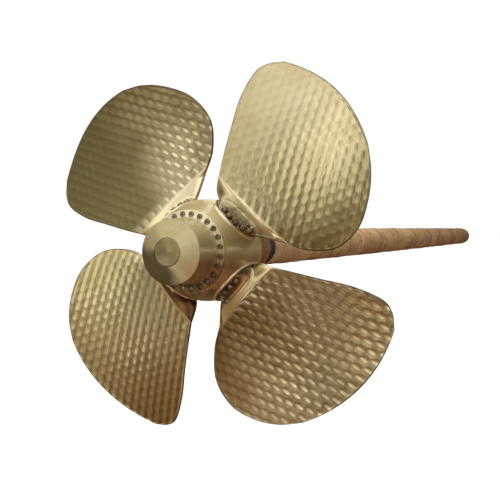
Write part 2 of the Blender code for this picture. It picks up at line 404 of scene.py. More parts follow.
def wingRows():        # aft and fore points of the blade above the palm, and the root row's own values
    b = bladeShape
    lastPlace = 1.0 - b["tipRadius"] / b["tipSlope"]
    tipTurn = np.linspace(0.0, math.pi / 2, b["tipRows"] + 1)[1:]
    place = np.concatenate([
        np.linspace(0.0, lastPlace, b["wingRows"]),
        lastPlace + (1.0 - lastPlace) * np.sin(tipTurn),
    ])
    lead, trail = smoothThrough(b["leading"], place), smoothThrough(b["trailing"], place)
    half = smoothThrough(b["thickness"], place)[:, 0] / 2.0
    bulge = smoothThrough(b["bulge"], place)
    camber = smoothThrough(b["camber"], place)
    chord = np.linalg.norm(trail - lead, axis=1)
    edge = half * b["edgeShare"]
    share = sectionShares(chord, edge)
    arch = 4.0 * share * (1.0 - share)
    out = lead[:, :1] * (1 - share) + trail[:, :1] * share + bulge * arch
    across = lead[:, 1:] * (1 - share) + trail[:, 1:] * share
    first, reach = math.sin(b["edgeStart"]), math.cos(b["edgeStart"])
    rise = np.sqrt(np.clip(1.0 - (reach * (1.0 - 2.0 * share)) ** 2, 0.0, 1.0))
    fullness = np.clip((rise - first) / (1.0 - first), 0.0, 1.0) ** b["fullnessPower"]
    fromEdge = np.minimum(share, 1.0 - share) * chord[:, None]
    fromTip = ((1.0 - place) * b["tipSlope"])[:, None] + 0.0 * share
    offset = half[:, None] * (b["edgeShare"] + (1.0 - b["edgeShare"]) * fullness)
    offset = offset * nose(fromEdge, edge[:, None]) * nose(fromTip, b["tipRadius"])
    middle = meanSurface(out, across) + camber * arch
    offset = offset + scallopHeight(out, across, fromEdge, fromTip)
    root = {"share": share[0], "offset": offset[0], "out": out[0], "across": across[0]}
    band = np.clip(1.0 - np.minimum(fromEdge, fromTip) / scallops["edgeBand"], 0.0, 1.0)
    band = band * smoothStep(out, scallops["startOut"], scallops["startOut"] + 0.06)
    return *bothSides(middle, offset, across, out), root, band


def palmRows(root):        # from the round foot up to the blade's root
    disc, power = foot["radius"] - foot["edge"], bladeShape["palmPowers"]
    rise = (np.arange(bladeShape["palmRows"]) / bladeShape["palmRows"])[:, None] ** power["rows"]
    lead, trail = root["across"][0], root["across"][-1]
    leadAcross = -disc + (lead + disc) * rise ** power["leading"]
    trailAcross = disc + (trail - disc) * rise ** power["trailing"]
    across = leadAcross + (trailAcross - leadAcross) * root["share"]
    out = foot["top"] + (root["out"] - foot["top"]) * rise
    neck = disc * (1.0 - rise) ** foot["neckSlimming"]
    roundPart = neck * np.sqrt(np.clip(1.0 - (across / disc) ** 2, 0.0, 1.0))
    half = (root["offset"] ** 4 + roundPart**4) ** 0.25
    middle = meanSurface(out, across) * rise ** power["middle"]
    low = np.array((0.0, 0.0, -foot["sink"]))
    return [np.concatenate([side[:1] + low, side]) for side in bothSides(middle, half, across, out)]


def bladeMesh():
    wingAft, wingFore, root, wingBand = wingRows()
    palmAft, palmFore = palmRows(root)
    aft, fore = np.concatenate([palmAft, wingAft]), np.concatenate([palmFore, wingFore])
    rows, columns = aft.shape[:2]
    loop = 2 * columns - 2
    verts = np.concatenate([aft[:-1], fore[:-1, -2:0:-1]], axis=1).reshape(-1, 3)
    verts = np.concatenate([verts, aft[-1]])
    band = np.concatenate([0.0 * palmAft[:, :, 0], wingBand])
    band = np.concatenate([np.concatenate([band[:-1], band[:-1, -2:0:-1]], axis=1).reshape(-1), band[-1]])
    lines = np.arange((rows - 1) * loop).reshape(-1, loop).tolist()
    tip = list(range((rows - 1) * loop, (rows - 1) * loop + columns))        # one line, shared by both sides
    faces = skin(lines + [tip + tip[-2:0:-1]])
    low = lines[0] + lines[0][:1]
    for k in range(columns - 1):
        faces.append(list(dict.fromkeys((low[k + 1], low[k], low[loop - k], low[loop - k - 1]))))
    mesh = meshOf("wing", verts.tolist(), faces)
    mesh.attributes.new("edge_band", "FLOAT", "POINT").data.foreach_set("value", band)
    return mesh


def boltSpots():        # (x, y) of the foot's bolts about the spindle
    spots = []
    for side in range(2):
        for i in range(foot["boltsPerSide"]):
            fromMiddle = i - (foot["boltsPerSide"] - 1) / 2.0
            turn = math.radians(foot["boltCentre"] + fromMiddle * foot["boltPitch"] + side * 180.0)
            spots.append((foot["boltCircle"] * math.cos(turn), foot["boltCircle"] * math.sin(turn)))
    return spots


def spotfaces():        # the pockets that the foot's bolts sit in, cut through foot and palm
    size = (foot["spotfaceFloor"], foot["spotfaceTop"], foot["spotfaceRadius"])
    return cylinders([(x, y, *size) for x, y in boltSpots()])


def footMesh():
    r, e = foot["radius"], foot["edge"]
    profile = rounded([(0.0, foot["bottom"]), (r, foot["bottom"]), (r, foot["top"]), (0.0, foot["top"])], e)
    return cutMesh(meshOf("foot", *lathe(profile, foot["segments"])), [(spotfaces(), Matrix.Identity(4))])


# Bolts

capScrew = {        # shares of the head's radius, and of its height for the depth
    "segments": 36,
    "chamfer": 0.10,
    "socket": 0.48,
    "socketRim": 0.5856,
    "socketDepth": 0.55,
    "socketChamfer": 0.0015,        # in metres
}


def screwRings(radius, height):        # (radius, z, hexagonal) from the seat to the socket's floor
    s = capScrew
    chamfer = radius * s["chamfer"]
    apothem = radius * s["socket"]
    return (
        (0.0, 0.0, False), (radius * 0.97, 0.0, False), (radius, chamfer, False),
        (radius, height - chamfer, False), (radius - chamfer, height, False),
        (radius * s["socketRim"], height, False), (apothem, height - s["socketChamfer"], True),
        (apothem, height * (1.0 - s["socketDepth"]), True),
        (0.0, height * (0.94 - s["socketDepth"]), False),
    )


def addScrew(verts, faces, matrix, radius, height, turn):
    count = capScrew["segments"]
    rows = []
    for r, z, hexagonal in screwRings(radius, height):
        if r == 0.0:
            rows.append([len(verts)] * count)
            verts.append(matrix @ Vector((0.0, 0.0, z)))
            continue
        rows.append(list(range(len(verts), len(verts) + count)))
        for i in range(count):
            angle = math.tau * i / count
            reach = r
            if hexagonal:
                reach = r / math.cos(angle % (math.pi / 3) - math.pi / 6)
            verts.append(matrix @ Vector((reach * math.cos(angle + turn), reach * math.sin(angle + turn), z)))
    faces.extend(skin(rows))


seating = 0.0002        # how far a bolt head sits off or into what it rests on
footBolt = {
    "radius": 0.0155,
    "height": 0.0255,
    "washerRadius": 0.0182,
    "washer": 0.003,        # its thickness
    "washerBevel": (0.0008, 0.0006),        # in from the edge, and down
}


def footBolts(number, material):
    verts, faces = [], []
    floor = foot["spotfaceFloor"] - seating
    for i, (x, y) in enumerate(boltSpots()):
        seat = Matrix.Translation((x, y, floor + footBolt["washer"]))
        addScrew(verts, faces, seat, footBolt["radius"], footBolt["height"], 0.7 * i + number)
        start = len(verts)
        r, thick = footBolt["washerRadius"], footBolt["washer"]
        inward, down = footBolt["washerBevel"]
        outline = [(0.0, 0.0), (r, 0.0), (r, thick - down), (r - inward, thick), (0.0, thick)]
        ring, ringFaces = lathe(outline, 32)
        verts.extend(Vector(v) + Vector((x, y, floor)) for v in ring)
        faces.extend([start + k for k in face] for face in ringFaces)
    return newPiece("foot_bolts_%d" % number, verts, faces, bladeFrame(number),
                    "blade_body_%d" % number, material, 30.0)


# Hub, cap and rings

hub = {
    "radius": 0.278,
    "endRadius": 0.220,
    "arcRows": 64,
    "segments": 240,
    "portRadius": 0.1483,
    "portFloor": 0.190,
    "portTop": 0.330,
    "portChamfer": 0.235,        # height where the port starts to open out
    "portFlare": 0.8,        # how much it opens for each unit of height
    "boreRadius": 0.067,
    "boreFloor": 0.140,
    "portSegments": 192,
}
portBead = {"radius": 0.0100, "least": 0.40, "sink": 0.0020, "stepsAround": 144, "stepsAcross": 12}
portRing = {"inner": 0.1410, "outer": 0.1480, "low": 0.1903, "top": 0.2455, "lip": 0.0035}
cap = {
    "flangeRadius": 0.217,
    "flangeThickness": 0.022,
    "bossRadius": 0.173,
    "bossFoot": ((0.012, 0.005), (0.002, 0.022), (0.0, 0.034)),        # (out from the boss, up it)
    "rimRadius": 0.169,
    "easing": 0.006,
    "length": 0.199,        # to the rim, where the cone starts
    "noseLength": 0.037,
    "plugRadius": 0.0733,
    "plugDepth": 0.012,
    "plugEdge": ((0.0, 0.0030), (0.0015, 0.0010), (0.004, 0.0)),        # (in from the edge, deep)
    "dish": 0.002,
    "dishSteps": 12,
    "boltCount": 24,
    "boltCircle": 0.1955,
    "recessRadius": 0.0165,
    "recessDepth": 0.0165,
    "cutterReach": 0.05,        # how far the recess cutters stand out of the flange
    "segments": 288,
}
capBolt = {"radius": 0.0112, "height": 0.0120}
gap = 0.0003
capRoot = -hubHalf - gap
capNose = capRoot - cap["length"] - cap["noseLength"]


def hubMesh():
    drop = hub["radius"] - hub["endRadius"]
    profile = [(0.0, hubHalf)]
    for i in range(hub["arcRows"] + 1):
        along = hubHalf * (1.0 - 2.0 * i / hub["arcRows"])
        profile.append((hub["radius"] - drop * (along / hubHalf) ** 2, along))
    profile.append((0.0, -hubHalf))
    cuts = [(portCutter(), alongShaft.inverted() @ bladeFrame(number)) for number in bladeAngles]
    return cutMesh(meshOf("hub", *lathe(profile, hub["segments"])), cuts)


def portCutter():        # bore, round port and its opened-out mouth as one turned tool
    h = hub
    mouth = h["portRadius"] + h["portFlare"] * (h["portTop"] - h["portChamfer"])
    profile = [(0.0, h["boreFloor"]), (h["boreRadius"], h["boreFloor"]), (h["boreRadius"], h["portFloor"]),
               (h["portRadius"], h["portFloor"]), (h["portRadius"], h["portChamfer"]), (mouth, h["portTop"]),
               (0.0, h["portTop"])]
    return meshOf("port", *lathe(profile, hub["portSegments"]))


def portEdge(angle):        # where the opened-out port meets the hub's skin, about the spindle
    drop = hub["radius"] - hub["endRadius"]
    reach, height = hub["portRadius"], 0.0
    for _ in range(30):
        forward, across = reach * math.cos(angle), reach * math.sin(angle)
        height = math.sqrt((hub["radius"] - drop * (forward / hubHalf) ** 2) ** 2 - across**2)
        reach = hub["portRadius"] + hub["portFlare"] * max(0.0, height - hub["portChamfer"])
    return reach, height


def portBeadMesh():        # a thin raised lip round the port, fullest fore and aft
    b = portBead
    verts = []
    for i in range(b["stepsAround"]):
        angle = math.tau * i / b["stepsAround"]
        reach, height = portEdge(angle)
        thick = b["radius"] * (b["least"] + (1.0 - b["least"]) * abs(math.cos(angle)))
        for k in range(b["stepsAcross"]):
            turn = math.tau * k / b["stepsAcross"]
            r, z = reach + thick * math.cos(turn), height - b["sink"] + thick * math.sin(turn)
            verts.append((r * math.cos(angle), r * math.sin(angle), z))
    rings = np.arange(len(verts)).reshape(-1, b["stepsAcross"]).tolist()
    return verts, skin(rings + rings[:1])


def capMesh():
    c = cap
    flange, rim = capRoot - c["flangeThickness"], capRoot - c["length"]
    outline = [
        (0.0, capRoot), (c["flangeRadius"], capRoot), (c["flangeRadius"], flange),
        *((c["bossRadius"] + out, flange - up) for out, up in c["bossFoot"]),
        (c["rimRadius"], rim), (c["plugRadius"], capNose),
        (c["plugRadius"], capNose + c["plugDepth"]), (0.0, capNose + c["plugDepth"]),
    ]
    outline = outline[:1] + rounded(outline[1:-1], c["easing"], 5) + outline[-1:]
    floor = flange - c["easing"] + c["recessDepth"]
    spots = circleSpots(c["boltCount"], c["boltCircle"], 0.5)
    recesses = cylinders([(x, y, flange - c["cutterReach"], floor, c["recessRadius"]) for x, y in spots], 36)
    casting = cutMesh(meshOf("cap", *lathe(outline, c["segments"])), [(recesses, Matrix.Identity(4))])
    return casting, spots, floor


def circleSpots(count, radius, start=0.0):        # evenly spaced (x, y), starting so many steps round
    turns = [math.tau * (i + start) / count for i in range(count)]
    return [(radius * math.cos(turn), radius * math.sin(turn)) for turn in turns]


def capBolts(spots, floor, material):
    verts, faces = [], []
    for i, (x, y) in enumerate(spots):
        seat = Matrix.Translation((x, y, floor + seating)) @ Matrix.Rotation(math.pi, 4, "X")
        addScrew(verts, faces, seat, capBolt["radius"], capBolt["height"], 0.9 * i)
    return newPiece("cap_bolts", verts, faces, alongShaft, "hub_and_shaft", material, 30.0)


def plugProfile():        # a flat disc with an eased edge and a shallow dish
    c = cap
    back = capNose + c["plugDepth"] - gap
    r = c["plugRadius"] - gap
    points = [(0.0, back), (r, back)] + [(r - inward, capNose + deep) for inward, deep in c["plugEdge"]]
    dishRadius = points[-1][0]
    for i in range(1, c["dishSteps"] + 1):
        t = i / c["dishSteps"]
        points.append((dishRadius * (1.0 - t), capNose + c["dish"] * (1.0 - (1.0 - t) ** 2)))
    return points


ringSizes = {
    "start": hubHalf + gap,
    "thickness": 0.092,
    "outer": 0.219,
    "bore": 0.0963,
    "bevel": 0.006,
}
shaftParts = {
    "flangeRadius": 0.185,
    "flangeThickness": 0.050,
    "fillet": 0.034,
    "linerRadius": 0.102,
    "linerThickness": 0.006,
    "linerEnd": 0.634,
    "bandRadius": 0.106,
    "bandEnd": 0.680,
    "chamfer": 0.003,        # round the forward end face
    "boltCount": 12,
    "boltCircle": 0.158,
    "boltRadius": 0.016,
    "boltHeight": 0.020,
    "linerEasing": 0.0015,
    "bandEasing": 0.003,
    "flangeEasing": 0.004,
    "filletSteps": 8,
    "rows": 48,        # under the wrap
    "rowsStart": 0.002,        # past the band's end
}


def ringProfile(inner, outer, start, end, bevel):
    outline = [(inner, end), (outer, end), (outer, start), (inner, start)]
    return rounded(outline, bevel, 5)


def shaftProfile():        # down the outer side, from the spigot in the front ring to the forward end face
    p = shaftParts
    ringEnd = ringSizes["start"] + ringSizes["thickness"] + gap
    end = ringEnd + p["flangeThickness"]
    neck = p["linerRadius"] - p["linerThickness"]
    rim, fillet = p["flangeRadius"], p["fillet"]
    flange = rounded([(neck, ringEnd), (rim, ringEnd), (rim, end), (neck + fillet, end)], p["flangeEasing"])
    profile = [(0.0, ringSizes["start"]), (neck, ringSizes["start"])] + flange[:-1]
    for i in range(p["filletSteps"] + 1):
        turn = math.pi / 2 * i / p["filletSteps"]
        profile.append((neck + fillet * (1.0 - math.sin(turn)), end + fillet * (1.0 - math.cos(turn))))
    profile.append((neck, p["bandEnd"]))
    shaftEnd = -hubSpot.x
    for along in np.linspace(p["bandEnd"] + p["rowsStart"], shaftEnd - p["chamfer"], p["rows"]):
        profile.append((float(wrapRadius(along)) - wrapTape["thickness"], float(along)))
    last = profile[-1][0]
    return profile + [(last - p["chamfer"], shaftEnd), (0.0, shaftEnd)]


# Hessian wrap on the shaft

wrapTape = {
    "stations": ((0.680, 0.111), (3.10, 0.105), (4.90, 0.097), (6.535, 0.088)),
    "pitch": 0.052,        # how far each turn of tape moves on
    "lift": 0.0032,        # how proud a tape edge stands on the turn below
    "stepsAround": 56,
    "across": (0.0, 0.05, 0.30, 0.62, 0.93, 0.985),
    "drift": 0.009,        # how far the turns stray along the shaft
    "lump": 0.0009,
    "wander": ((0.35, 0.37, 1.3), (0.25, 1.31, 0.0), (0.20, 2.73, 0.5)),        # (share, rate, start)
    "sink": 0.0024,
    "thickness": 0.007,
    "weld": 0.00001,        # points closer than this become one
}


def wrapRadius(along):
    along = np.asarray(along, float)
    stations = np.array(wrapTape["stations"])
    return np.interp(along, stations[:, 0], stations[:, 1])


def wrapMesh():
    w = wrapTape
    start, end = w["stations"][0][0], w["stations"][-1][0]
    n, across = w["stepsAround"], np.array(w["across"])
    turns = int(math.ceil((end - start) / w["pitch"])) + 2
    turn = np.arange(-2, turns)[None, :, None] + np.arange(n)[:, None, None] / n
    drift = w["drift"] * (np.sin(1.7 * turn) + np.sin(0.61 * turn + 1.0))
    along = start + w["pitch"] * (turn + across) + drift
    angle = math.tau * turn + 0.0 * along
    wander = sum(share * np.sin(angle * rate + first) for share, rate, first in w["wander"])
    edgeRise = np.where(across < 0.03, 1.0, 0.86 * (1.0 - across) ** 0.8)
    edgeRise[-1] = 0.0
    lumps = w["lump"] * (np.sin(along * 13.0 + np.sin(angle)) + np.sin(2.0 * angle + along * 7.3)
                         + 0.6 * np.sin(3.0 * angle - along * 23.0))
    radius = wrapRadius(along) - w["sink"] + w["lift"] * edgeRise * (0.8 + 0.6 * wander) + lumps
    angle, along, radius = (values.reshape(n, -1) for values in (angle, along, radius))
    for line, reach in zip(along, radius):        # rows beyond an end are drawn in to one point on it
        atStart, atEnd = np.interp((start, end), line, reach)
        reach[line < start], reach[line > end] = atStart, atEnd
        np.clip(line, start, end, out=line)
    verts = np.stack([radius * np.cos(angle), radius * np.sin(angle), along], -1).reshape(-1, 3).tolist()
    faces = helixFaces(n, along.shape[1], len(across))
    addWrapLining(verts, faces, n, along.shape[1])
    mesh = bpy.data.meshes.new("wrap")
    mesh.from_pydata(verts, [], faces)
    return reshape(mesh, lambda shape: bmesh.ops.remove_doubles(shape, verts=shape.verts, dist=w["weld"]))


def helixFaces(columns, rows, strip):        # each column's rows lie one strip further on past the seam
    faces = []
    for j in range(columns):
        onward = 0 if j < columns - 1 else strip
        here, after = j * rows, (j + 1) % columns * rows + onward
        for i in range(rows - 1 - onward):
            faces.append((here + i, after + i, after + i + 1, here + i + 1))
    return faces


def addWrapLining(verts, faces, columns, rows):        # flat ends, and an inner wall just clear of the shaft
    rings = [[j * rows for j in range(columns)]]
    for along, radius in wrapTape["stations"]:
        inner = radius - wrapTape["thickness"] + gap
        rings.append(list(range(len(verts), len(verts) + columns)))
        for j in range(columns):
            turn = math.tau * j / columns
            verts.append((inner * math.cos(turn), inner * math.sin(turn), along))
    rings.append([(j + 1) * rows - 1 for j in range(columns)])
    faces.extend(skin(rings))


# Finishes

bronzeTones = {
    "pale": tone(0.82, 0.71, 0.47),
    "warm": tone(0.74, 0.61, 0.37),
    "brown": tone(0.60, 0.38, 0.19),
    "umber": tone(0.28, 0.160, 0.064),
    "olive": tone(0.44, 0.37, 0.18),
    "dull": tone(0.24, 0.20, 0.09),
    # dark tone of painted shade, also dirt on the blade feet
    "grimeAndShade": tone(0.13, 0.105, 0.050),
    # pale tone of painted highlights
    "glint": tone(0.97, 0.88, 0.64),
    # dark tone of painted shade along the blade edges
    "edgeShade": tone(0.080, 0.060, 0.028),
    # dark tone of painted shade on a blade's palm
    "palmShade": tone(0.135, 0.070, 0.027),
    # dark tone of painted shade between the cuts
    "groove": tone(0.17, 0.115, 0.048),
    "redBrown": tone(0.20, 0.075, 0.036),
}
bladeLooks = {        # how much painted reflection and shade each blade gets, where, and in what tone; how the milling's painted glints show on it
    1: {"overall": (0.42, "olive"), "root": (0.60, "olive"), "leading": (0.90, "dull"),
        "leadingEdges": (-0.44, -0.02), "foot": (0.90, "dull"), "footTop": 0.332, "between": (0.13, 0.10),
        "rootBetween": 0.60, "ropes": (-0.20, 0.90), "trailingEdges": (0.12, 0.36),
        "worn": {"trailing": 0.9}},
    2: {"overall": (0.10, "olive"), "leading": (0.20, "dull"), "trailing": (1.00, "dull"),
        "trailingEdges": (-0.24, 0.10),
        "tip": (1.00, "dull"), "foot": (0.40, "olive"), "footTop": 0.290, "between": (0.72, 0.60),
        "dashes": (0.0240, 0.0090), "worn": {"trailing": 1.0, "tip": 0.5}},
    3: {"overall": (0.30, "olive"), "leading": (0.75, "olive"), "trailing": (0.55, "brown"),
        "tip": (0.35, "olive"),
        "trailingEdges": (0.10, 0.50), "palm": (0.98, "palmShade"), "footTop": 0.290, "between": (0.48, 0.70),
        "ropes": (-0.55, 0.65), "worn": {}},
    4: {"overall": (0.18, "brown"), "root": (0.75, "umber"), "leading": (0.95, "umber"),
        "leadingEdges": (-0.50, 0.00), "foot": (1.00, "grimeAndShade"), "footTop": 0.300, "between": (1.00, 0.62),
        "dashes": (0.0255, 0.0092), "worn": {"leading": 0.75}},
}
glintMarks = {        # painted highlights: the bright glints of the milling, on the grid of the scallops
    "lean": 12.0,        # of a dash from the spindle's direction towards the trailing edge, in degrees
    "cross": 0.12,        # how far the ropes break up into beads
}


def ropeGlints(across, out, low, high):        # painted highlight: bright bands along the lines of cuts
    row = out * (math.tau / scallops["pitchOut"])
    cut = (across - out * (scallops["shift"] / scallops["pitchOut"])) * (math.tau / scallops["pitchAcross"])
    both = cut + row
    return (cut.math("COSINE", cut) + glintMarks["cross"] * both.math("COSINE", both)).ramp(low, high)


def dashGlints(across, out, halfLength, halfWidth):        # painted highlight: one slanting bright dash in each cut
    lean = math.radians(glintMarks["lean"])
    row = (out / scallops["pitchOut"]).math("ROUND", out / scallops["pitchOut"])
    up = out - row * scallops["pitchOut"]
    sideways = across - row * scallops["shift"]
    column = (sideways / scallops["pitchAcross"]).math("ROUND", sideways / scallops["pitchAcross"])
    sideways = sideways - column * scallops["pitchAcross"]
    along = (up * math.cos(lean) + sideways * math.sin(lean)) / halfLength
    over = (sideways * math.cos(lean) - up * math.sin(lean)) / halfWidth
    return 1.0 - (along * along + over * over).ramp(0.25, 1.30)


def bladeBronze(number):
    look = bladeLooks[number]
    material, place = newFinish("blade_bronze_%d" % number, {"Metallic": 1.0})
    turn = math.radians(90.0 - bladeAngles[number])
    place = place.node("ShaderNodeMapping", {"vector_type": "TEXTURE"}, {
        "Vector": place, "Location": hubSpot, "Rotation": (turn, 0.0, 0.0)})
    forward, across, out = place.parts()
    cloud = place.noise(3.2, 4.0, 0.55).ramp(0.35, 0.68)
    fleck = place.noise(24.0, 4.0, 0.55).ramp(0.38, 0.66)
    grain = vectorOf(across * 90.0, out * 14.0, forward * 30.0).noise(1.0, 3.0, 0.5)
    uneven = (0.7 + 0.3 * cloud) * out.ramp(0.335, 0.360)
    masks = {
        "overall": 0.5 * (1.0 + cloud) * out.ramp(0.335, 0.360),
        "root": (1.0 - out.ramp(0.42, 0.95)) * uneven,
        "tip": out.ramp(0.45, 0.80) * uneven,
        "leading": (1.0 - across.ramp(*look.get("leadingEdges", (-0.40, 0.10)))) * uneven,
        "trailing": across.ramp(*look.get("trailingEdges", (0.0, 1.0))) * out.ramp(0.33, 0.42),
        "palm": 1.0 - out.ramp(0.330, 0.345),
        "foot": (1.0 - out.ramp(look["footTop"] - 0.035, look["footTop"])) * (0.5 + 0.5 * fleck),
    }
    worn = sum((masks[spot] * share for spot, share in look["worn"].items()), out * 0.0)
    milled = out.ramp(scallops["startOut"], 0.36) * (1.0 - 0.9 * worn)
    low, high = look["between"]
    leadingRoot = (1.0 - out.ramp(0.36, 0.50)) * (1.0 - across.ramp(-0.10, 0.20))
    between = low + (high - low) * across.ramp(-0.25, 0.30) + look.get("rootBetween", 0.0) * leadingRoot
    if "dashes" in look:
        glint = dashGlints(across, out, *look["dashes"])
    else:
        glint = ropeGlints(across, out, *look["ropes"])
    metal = (cloud * 0.45 + fleck * 0.15).mix(bronzeTones["pale"], bronzeTones["warm"])
    # painted highlights: the pale glint tone laid on each cut
    metal = (glint * milled * between).mix(metal, bronzeTones["glint"])
    # painted reflection and shade: each blade's own tints laid on by place
    for spot, mask in masks.items():
        if spot in look:
            metal = (mask * look[spot][0]).mix(metal, bronzeTones[look[spot][1]])
    # painted shade: the groove tone darkens between the glints, where the cuts meet
    cuspShade = (1.0 - glint) * milled * between
    metal = (cuspShade * (0.7 + 0.3 * fleck)).mix(metal, bronzeTones["groove"])
    # painted shade: darker dull tone where the face turns edge-on at the blade's edges
    faceTurn, _, _ = place.node("ShaderNodeTexCoord", out="Normal").parts()
    rim = (1.0 - faceTurn.math("ABSOLUTE", faceTurn).ramp(0.45, 0.80)) * out.ramp(0.33, 0.37)
    metal = (rim * 0.85).mix(metal, bronzeTones["dull"])
    # painted shade: a dark band along the blade's edges
    band = place.node("ShaderNodeAttribute", {"attribute_name": "edge_band"}, {}, "Fac").ramp(0.25, 0.75)
    metal = (band * (0.55 + 0.35 * fleck)).mix(metal, bronzeTones["edgeShade"])
    roughness = 0.18 + 0.04 * cloud + 0.03 * fleck + 0.10 * cuspShade + 0.30 * worn
    return feed(material, metal, roughness, grain * 0.5 + fleck, 0.0005, 0.15)


sideShades = {        # painted shade by side: degrees from straight down towards port, how the edges run, share and tone
    "hub": ((0.0, (-0.30, 0.80), 0.40, "umber"),),
    "cap": ((155.0, (0.10, 0.95), 0.55, "olive"), (44.0, (0.30, 0.78), 0.95, "grimeAndShade")),
    "plug": ((44.0, (-2.60, 0.60), 0.66, "grimeAndShade"),),
}


def turnedBronze(name, uniform, roughness, tint):        # lathe-turned bronze; local Z is the turning axis
    material, place = newFinish(name + "_bronze", {"Metallic": 1.0, **uniform})
    x, y, z = place.parts()
    radial = (x * x + y * y) ** 0.5
    rings = vectorOf(radial * 260.0, z * 260.0, 0.0).noise(1.0, 3.0, 0.6)
    broad = vectorOf(radial * 38.0, z * 38.0, 0.0).noise(1.0, 2.0, 0.5)
    cloud = place.noise(7.0, 4.0, 0.55).ramp(0.36, 0.66)
    metal = (cloud * 0.5 + 0.25 * broad).mix(bronzeTones["pale"], bronzeTones["warm"])
    metal = (tint * (0.5 + 0.5 * cloud)).mix(metal, bronzeTones["olive"])
    if name == "bead":
        # painted highlight: the bead is laid in the pale glint tone
        metal = (1.0 - 0.15 * cloud).mix(metal, bronzeTones["glint"])
    metal = (rings.ramp(0.50, 0.72) * 0.30).mix(metal, bronzeTones["umber"])
    # painted shade: darker tones laid on the hub's underside and on sides of the cap and plug
    for degrees, edge, share, dirtAndShade in sideShades.get(name, ()):
        toward = math.radians(degrees)
        side = (x * math.cos(toward) + y * math.sin(toward)) / (radial + 0.001) + 0.15 * (cloud - 0.5)
        metal = (share * side.ramp(*edge)).mix(metal, bronzeTones[dirtAndShade])
    down = x / (radial + 0.001)
    if name in ("hub", "cap"):
        # reddish-brown patches, only towards the bottom
        stain = place.noise(19.0, 5.0, 0.65).ramp(0.47, 0.63) * down.ramp(0.10, 0.80)
        if name == "cap":
            stain = stain * radial.ramp(cap["rimRadius"] - 0.003, cap["rimRadius"])
        metal = (stain * 0.62).mix(metal, bronzeTones["redBrown"])
    if name == "cap":
        # painted shade: the cap darker on its lower side; painted highlight: its flange lighter on the upper
        # side
        below = down.ramp(-0.25, 0.75) * radial.ramp(cap["rimRadius"] - 0.003, cap["rimRadius"])
        flange = radial.ramp(cap["bossRadius"], cap["bossRadius"] + 0.012)
        metal = (below * (0.45 + 0.30 * flange + 0.4 * rings)).mix(metal, bronzeTones["umber"])
        metal = (flange * (1.0 - down.ramp(-0.90, -0.35)) * 0.8).mix(metal, bronzeTones["glint"])
    return feed(material, metal, roughness + 0.08 * cloud + 0.10 * rings, rings * 0.5 + broad, 0.0004, 0.4)


def footFinish():        # bronze painted dark for the shade down in the port, greasy, with dirt round the bolts
    material, place = newFinish("foot_bronze", {"Metallic": 1.0})
    cloud = place.noise(11.0, 5.0, 0.6).ramp(0.36, 0.62)
    dirtAndShade = place.noise(38.0, 5.0, 0.65).ramp(0.44, 0.62)
    metal = cloud.mix(tone(0.24, 0.22, 0.18), tone(0.12, 0.11, 0.09))
    metal = (dirtAndShade * 0.6).mix(metal, bronzeTones["grimeAndShade"])
    return feed(material, metal, 0.30 + 0.12 * cloud + 0.15 * dirtAndShade, dirtAndShade + cloud * 0.5, 0.0008, 0.4)


def copperFinish():
    material, place = newFinish("copper_paint", {"Metallic": 0.55})
    cloud = place.noise(9.0, 5.0, 0.6).ramp(0.35, 0.65)
    speck = place.noise(90.0, 4.0, 0.6).ramp(0.45, 0.62)
    metal = cloud.mix(tone(0.36, 0.155, 0.035), tone(0.25, 0.095, 0.022))
    metal = (speck * 0.35).mix(metal, tone(0.14, 0.06, 0.02))
    return feed(material, metal, 0.36 + 0.2 * cloud + 0.1 * speck, speck, 0.0005, 0.4)


def steelFinish(name, first, second, roughness):
    material, place = newFinish(name, {"Metallic": 1.0})
    cloud = place.noise(11.0, 5.0, 0.6).ramp(0.35, 0.65)
    speck = place.noise(140.0, 4.0, 0.6).ramp(0.42, 0.62)
    metal = cloud.mix(first, second)
    metal = (speck * 0.3).mix(metal, tone(0.12, 0.09, 0.07))
    return feed(material, metal, roughness + 0.15 * cloud + 0.1 * speck, speck, 0.0004, 0.35)


def rubberFinish():
    material, place = newFinish("black_band", {"Metallic": 0.0, "Specular IOR Level": 0.4})
    cloud = place.noise(14.0, 4.0, 0.6).ramp(0.35, 0.65)
    dust = place.noise(120.0, 3.0, 0.6).ramp(0.48, 0.68)
    colour = (cloud * 0.5 + dust * 0.4).mix(tone(0.010, 0.010, 0.010), tone(0.035, 0.032, 0.028))
    return feed(material, colour, 0.5 + 0.2 * cloud, dust, 0.0006, 0.5)


